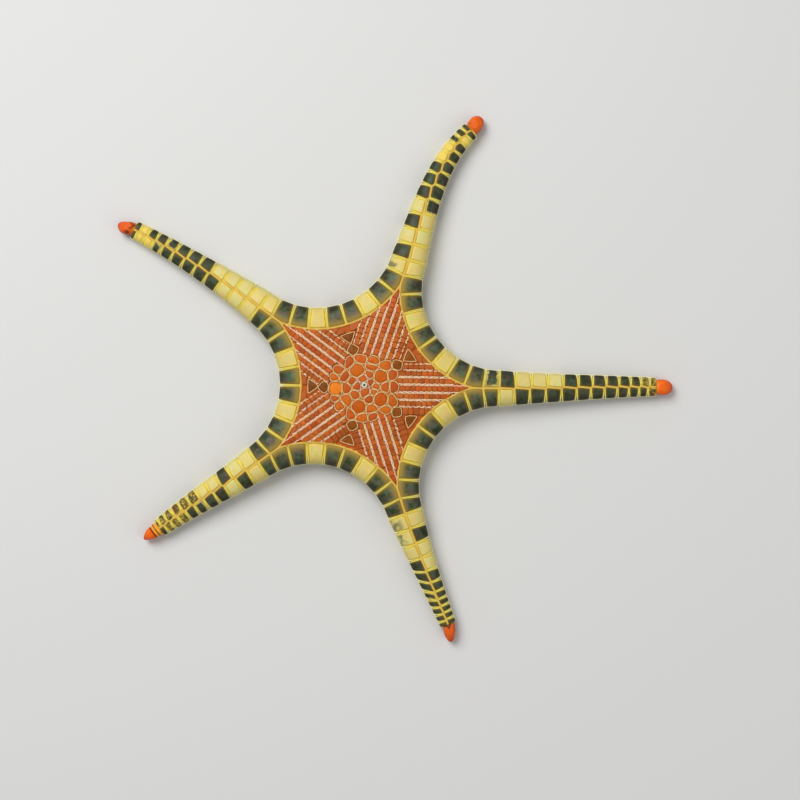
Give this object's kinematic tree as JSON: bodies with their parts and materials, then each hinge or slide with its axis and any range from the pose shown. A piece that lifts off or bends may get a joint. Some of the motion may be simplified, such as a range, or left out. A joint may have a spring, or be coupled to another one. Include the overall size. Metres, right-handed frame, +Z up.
{
  "type": "icon starfish",
  "caption": "Flat starfish with long narrow arms, a tiled disc, a frame of block-like marginal plates and smooth caps at the arm tips.",
  "frame": {"origin": "middle of the closed jaws on the flat underside, at floor level", "axes": "+Z up out of the upper face; +X along the longest arm"},
  "size_m": [0.1267, 0.1192, 0.0083],
  "materials": {
    "disc_plate": "satin, finely granular",
    "sieve_plate": "satin, finely grooved",
    "underside": "matt, granular",
    "jaw": "matt",
    "dark_plate": "smooth satin",
    "pale_plate": "smooth satin",
    "tip_plate": "smooth satin",
    "skin": "matt, granular skin"
  },
  "bodies": {
    "root": {"disc_top": "disc_plate", "madreporite": "sieve_plate", "disc_underside": "underside", "mouth": "jaw", "rim_12": "dark_plate", "rim_23": "dark_plate", "rim_34": "dark_plate", "rim_45": "dark_plate", "rim_51": "dark_plate", "arm_1_inner": "pale_plate", "arm_1_middle": "pale_plate", "arm_1_outer": "pale_plate", "arm_2_inner": "pale_plate", "arm_2_middle": "pale_plate", "arm_2_outer": "pale_plate", "arm_3_inner": "pale_plate", "arm_3_middle": "pale_plate", "arm_3_outer": "pale_plate", "arm_4_inner": "pale_plate", "arm_4_middle": "pale_plate", "arm_4_outer": "pale_plate", "arm_5_inner": "pale_plate", "arm_5_middle": "pale_plate", "arm_5_outer": "pale_plate", "tip_1": "tip_plate", "tip_2": "tip_plate", "tip_3": "tip_plate", "tip_4": "tip_plate", "tip_5": "tip_plate"}
  },
  "joints": []
}
